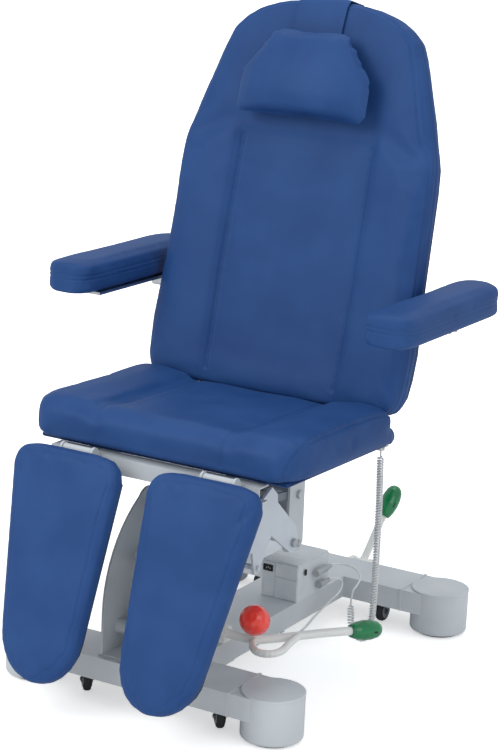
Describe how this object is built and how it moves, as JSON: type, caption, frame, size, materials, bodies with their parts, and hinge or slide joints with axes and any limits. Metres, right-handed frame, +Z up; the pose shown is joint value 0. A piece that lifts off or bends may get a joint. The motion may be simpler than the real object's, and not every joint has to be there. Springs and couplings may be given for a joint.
{
  "type": "podiatry chair",
  "caption": "Electric lifting treatment chair on a castor base with reclining padded back, swing-up armrests, headrest pillow and two separate leg rests.",
  "frame": {"origin": "on the floor, in the middle of the whole chair's width and length", "axes": "-Y is the front, towards the leg rests; +Z is up; +X is towards the control box side"},
  "size_m": [0.888, 1.1871, 1.424],
  "materials": {
    "painted_base": "smooth light grey powder coat",
    "painted_white": "white-grey powder coat",
    "painted_grey": "mid grey powder coat",
    "painted_cream": "off-white powder coat",
    "foot_rubber": "matt black rubber",
    "black_plastic": "moulded satin black",
    "box_plastic": "fine textured grey",
    "plug_rubber": "moulded grey rubber",
    "ram_grey": "satin grey",
    "rod_steel": "polished chrome",
    "zinc_steel": "bright zinc",
    "plywood": "dark painted birch plywood",
    "blue_vinyl": "royal blue vinyl, fine grain",
    "shell_vinyl": "dark blue vinyl over a board",
    "green_plastic": "glossy green",
    "red_plastic": "glossy red",
    "castor_steel": "dark zinc",
    "castor_tyre": "black tyre on a grey hub",
    "cord_sheath": "light grey sheath"
  },
  "bodies": {
    "base": {"base_frame": "painted_base", "foot_caps": "painted_base", "foot_pads": "foot_rubber", "front_tower": "painted_base", "tower_caps": "black_plastic", "ram_bracket": "painted_base", "control_box": "box_plastic", "control_box_cover": "box_plastic", "cord_plugs": "plug_rubber", "pedal_bearings": "painted_cream", "curly_cord": "cord_sheath", "thin_lead": "cord_sheath"},
    "lift": {"lift_arm": "painted_white"},
    "ties": {"tie_bars": "painted_grey"},
    "ram_tube": {"ram_tube": "ram_grey"},
    "ram_rod": {"ram_rod": "rod_steel"},
    "seat": {"seat_frame": "painted_base", "seat_hanger": "painted_base", "hanger_bolts": "zinc_steel", "seat_board": "plywood", "seat_cushion": "blue_vinyl", "cord_clip": "zinc_steel"},
    "back": {"back_frame": "painted_base", "back_shell": "shell_vinyl", "back_cushion": "blue_vinyl", "headrest_strap": "blue_vinyl"},
    "pillow": {"headrest_pillow": "blue_vinyl"},
    "armrest_left": {"armrest_bracket_left": "zinc_steel", "armrest_pad_left": "blue_vinyl"},
    "armrest_right": {"armrest_bracket_right": "zinc_steel", "armrest_pad_right": "blue_vinyl"},
    "legrest_left": {"leg_frame_left": "painted_base"},
    "legrest_right": {"leg_frame_right": "painted_base"},
    "leg_slide_left": {"leg_slide_left": "plywood", "leg_pad_left": "blue_vinyl"},
    "leg_slide_right": {"leg_slide_right": "plywood", "leg_pad_right": "blue_vinyl"},
    "leg_lever_left": {"leg_lever_left": "black_plastic"},
    "leg_lever_right": {"leg_lever_right": "black_plastic"},
    "front_pedal": {"front_pedal_tube": "painted_cream", "front_green_knobs": "green_plastic", "front_red_knobs": "red_plastic"},
    "rear_pedal": {"rear_pedal_tube": "painted_cream", "rear_green_knob": "green_plastic"},
    "castor_carrier_front_left": {"castor_carrier_front_left": "zinc_steel"},
    "castor_fork_front_left": {"castor_fork_front_left": "castor_steel"},
    "castor_wheel_front_left": {"castor_wheel_front_left": "castor_tyre"},
    "castor_carrier_front_right": {"castor_carrier_front_right": "zinc_steel"},
    "castor_fork_front_right": {"castor_fork_front_right": "castor_steel"},
    "castor_wheel_front_right": {"castor_wheel_front_right": "castor_tyre"},
    "castor_carrier_rear_left": {"castor_carrier_rear_left": "zinc_steel"},
    "castor_fork_rear_left": {"castor_fork_rear_left": "castor_steel"},
    "castor_wheel_rear_left": {"castor_wheel_rear_left": "castor_tyre"},
    "castor_carrier_rear_right": {"castor_carrier_rear_right": "zinc_steel"},
    "castor_fork_rear_right": {"castor_fork_rear_right": "castor_steel"},
    "castor_wheel_rear_right": {"castor_wheel_rear_right": "castor_tyre"}
  },
  "joints": [
    {"name": "lift", "type": "hinge", "parent": "base", "child": "lift", "pos_m": [0, -0.2833, 0.29], "axis": [1, 0, 0], "range_deg": [0, 40]},
    {"name": "seat_level", "type": "hinge", "parent": "lift", "child": "seat", "pos_m": [0, 0.1117, 0.24], "axis": [1, 0, 0], "range_deg": [-40, 0]},
    {"name": "tie_turn", "type": "hinge", "parent": "base", "child": "ties", "pos_m": [0, -0.2523, 0.393], "axis": [1, 0, 0], "range_deg": [0, 40]},
    {"name": "ram_turn", "type": "hinge", "parent": "base", "child": "ram_tube", "pos_m": [0, -0.2963, 0.134], "axis": [1, 0, 0], "range_deg": [0, 28.4]},
    {"name": "ram_extend", "type": "slide", "parent": "ram_tube", "child": "ram_rod", "axis": [0, 0.9437, 0.3307], "range_m": [0, 0.0885]},
    {"name": "back_recline", "type": "hinge", "parent": "seat", "child": "back", "pos_m": [0, 0.1257, 0.533], "axis": [1, 0, 0], "range_deg": [-75, 0]},
    {"name": "pillow_slide", "type": "slide", "parent": "back", "child": "pillow", "axis": [0, 0.23, 0.9732], "range_m": [-0.06, 0.03]},
    {"name": "front_pedal_turn", "type": "hinge", "parent": "base", "child": "front_pedal", "pos_m": [0, -0.1773, 0.118], "axis": [1, 0, 0], "range_deg": [-10, 0]},
    {"name": "rear_pedal_turn", "type": "hinge", "parent": "base", "child": "rear_pedal", "pos_m": [0.045, 0.4807, 0.088], "axis": [1, 0, 0], "range_deg": [-12, 0]},
    {"name": "armrest_left_swing", "type": "hinge", "parent": "back", "child": "armrest_left", "pos_m": [-0.354, 0.1867, 0.764], "axis": [1, 0, 0], "range_deg": [-85, 0]},
    {"name": "legrest_left_swing", "type": "hinge", "parent": "seat", "child": "legrest_left", "pos_m": [-0.169, -0.3943, 0.527], "axis": [1, 0, 0], "range_deg": [-80, 0]},
    {"name": "leg_left_extend", "type": "slide", "parent": "legrest_left", "child": "leg_slide_left", "axis": [0, -0.309, -0.9511], "range_m": [0, 0.06]},
    {"name": "leg_lever_left_turn", "type": "hinge", "parent": "leg_slide_left", "child": "leg_lever_left", "pos_m": [-0.221, -0.49747, 0.24088], "axis": [0, 0.9511, -0.309], "range_deg": [-15, 15], "stiffness_Nm_per_rad": 0.5},
    {"name": "armrest_right_swing", "type": "hinge", "parent": "back", "child": "armrest_right", "pos_m": [0.354, 0.1867, 0.764], "axis": [1, 0, 0], "range_deg": [-85, 0]},
    {"name": "legrest_right_swing", "type": "hinge", "parent": "seat", "child": "legrest_right", "pos_m": [0.169, -0.3943, 0.527], "axis": [1, 0, 0], "range_deg": [-80, 0]},
    {"name": "leg_right_extend", "type": "slide", "parent": "legrest_right", "child": "leg_slide_right", "axis": [0, -0.309, -0.9511], "range_m": [0, 0.06]},
    {"name": "leg_lever_right_turn", "type": "hinge", "parent": "leg_slide_right", "child": "leg_lever_right", "pos_m": [0.221, -0.49747, 0.24088], "axis": [0, 0.9511, -0.309], "range_deg": [-15, 15], "stiffness_Nm_per_rad": 0.5},
    {"name": "castor_front_left_lower", "type": "slide", "parent": "base", "child": "castor_carrier_front_left", "axis": [0, 0, -1], "range_m": [0, 0.008]},
    {"name": "castor_front_left_swivel", "type": "hinge", "parent": "castor_carrier_front_left", "child": "castor_fork_front_left", "pos_m": [-0.164, -0.3568, 0.08], "axis": [0, 0, 1], "continuous": true},
    {"name": "castor_front_left_roll", "type": "hinge", "parent": "castor_fork_front_left", "child": "castor_wheel_front_left", "pos_m": [-0.14472, -0.37978, 0.028], "axis": [-0.766, -0.6428, 0], "continuous": true},
    {"name": "castor_front_right_lower", "type": "slide", "parent": "base", "child": "castor_carrier_front_right", "axis": [0, 0, -1], "range_m": [0, 0.008]},
    {"name": "castor_front_right_swivel", "type": "hinge", "parent": "castor_carrier_front_right", "child": "castor_fork_front_right", "pos_m": [0.164, -0.3568, 0.08], "axis": [0, 0, 1], "continuous": true},
    {"name": "castor_front_right_roll", "type": "hinge", "parent": "castor_fork_front_right", "child": "castor_wheel_front_right", "pos_m": [0.18328, -0.37978, 0.028], "axis": [-0.766, -0.6428, 0], "continuous": true},
    {"name": "castor_rear_left_lower", "type": "slide", "parent": "base", "child": "castor_carrier_rear_left", "axis": [0, 0, -1], "range_m": [0, 0.008]},
    {"name": "castor_rear_left_swivel", "type": "hinge", "parent": "castor_carrier_rear_left", "child": "castor_fork_rear_left", "pos_m": [-0.164, 0.4002, 0.08], "axis": [0, 0, 1], "continuous": true},
    {"name": "castor_rear_left_roll", "type": "hinge", "parent": "castor_fork_rear_left", "child": "castor_wheel_rear_left", "pos_m": [-0.164, 0.3702, 0.028], "axis": [-1, 0, 0], "continuous": true},
    {"name": "castor_rear_right_lower", "type": "slide", "parent": "base", "child": "castor_carrier_rear_right", "axis": [0, 0, -1], "range_m": [0, 0.008]},
    {"name": "castor_rear_right_swivel", "type": "hinge", "parent": "castor_carrier_rear_right", "child": "castor_fork_rear_right", "pos_m": [0.164, 0.4002, 0.08], "axis": [0, 0, 1], "continuous": true},
    {"name": "castor_rear_right_roll", "type": "hinge", "parent": "castor_fork_rear_right", "child": "castor_wheel_rear_right", "pos_m": [0.164, 0.3702, 0.028], "axis": [-1, 0, 0], "continuous": true}
  ],
  "couplings": [
    {"joint": "seat_level", "follows": "lift", "ratio": -1},
    {"joint": "tie_turn", "follows": "lift", "ratio": 1},
    {"joint": "ram_turn", "follows": "lift", "ratio": 0.704},
    {"joint": "ram_extend", "follows": "lift", "m_per_rad": 0.126},
    {"joint": "rear_pedal_turn", "follows": "front_pedal_turn", "ratio": 1.2},
    {"joint": "castor_front_left_lower", "follows": "front_pedal_turn", "m_per_rad": -0.0458},
    {"joint": "castor_front_right_lower", "follows": "front_pedal_turn", "m_per_rad": -0.0458},
    {"joint": "castor_rear_left_lower", "follows": "front_pedal_turn", "m_per_rad": -0.0458},
    {"joint": "castor_rear_right_lower", "follows": "front_pedal_turn", "m_per_rad": -0.0458}
  ]
}
